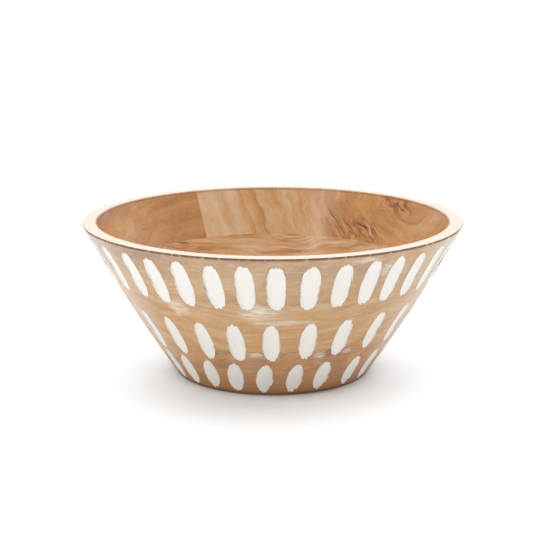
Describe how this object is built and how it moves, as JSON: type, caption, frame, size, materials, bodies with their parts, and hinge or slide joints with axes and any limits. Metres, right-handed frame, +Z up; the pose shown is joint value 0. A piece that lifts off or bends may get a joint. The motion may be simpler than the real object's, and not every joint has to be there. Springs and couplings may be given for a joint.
{
  "type": "carved wooden bowl",
  "caption": "Flaring turned wooden bowl on a flat foot, glued up from crossing courses of boards, with rows of shallow carved ovals painted white round the outside.",
  "frame": {"origin": "centre of the foot's flat resting face", "axes": "+Z up along the turning axis, -Y towards the front, the side the bowl is looked at from"},
  "size_m": [0.3054, 0.3054, 0.125],
  "materials": {
    "rim_wood": "lacquered inside, whitewashed and waxed outside, cream wash on the rim",
    "wall_wood": "lacquered inside, whitewashed and waxed outside",
    "base_wood": "lacquered inside, whitewashed and waxed outside, bare underneath",
    "white_paint": "matt chalky paint, brushed along each oval"
  },
  "bodies": {
    "root": {"rim_board_left": "rim_wood", "rim_board_right": "rim_wood", "rim_board_front_left": "rim_wood", "rim_board_front_right": "rim_wood", "rim_board_back_left": "rim_wood", "rim_board_back_right": "rim_wood", "wall_board_back": "wall_wood", "wall_board_front": "wall_wood", "wall_board_left_back": "wall_wood", "wall_board_left_front": "wall_wood", "wall_board_right_back": "wall_wood", "wall_board_right_front": "wall_wood", "base_board_left": "base_wood", "base_board_mid_left": "base_wood", "base_board_mid_right": "base_wood", "base_board_right": "base_wood", "lower_row_paint": "white_paint", "middle_row_paint": "white_paint", "upper_row_paint": "white_paint"}
  },
  "joints": []
}
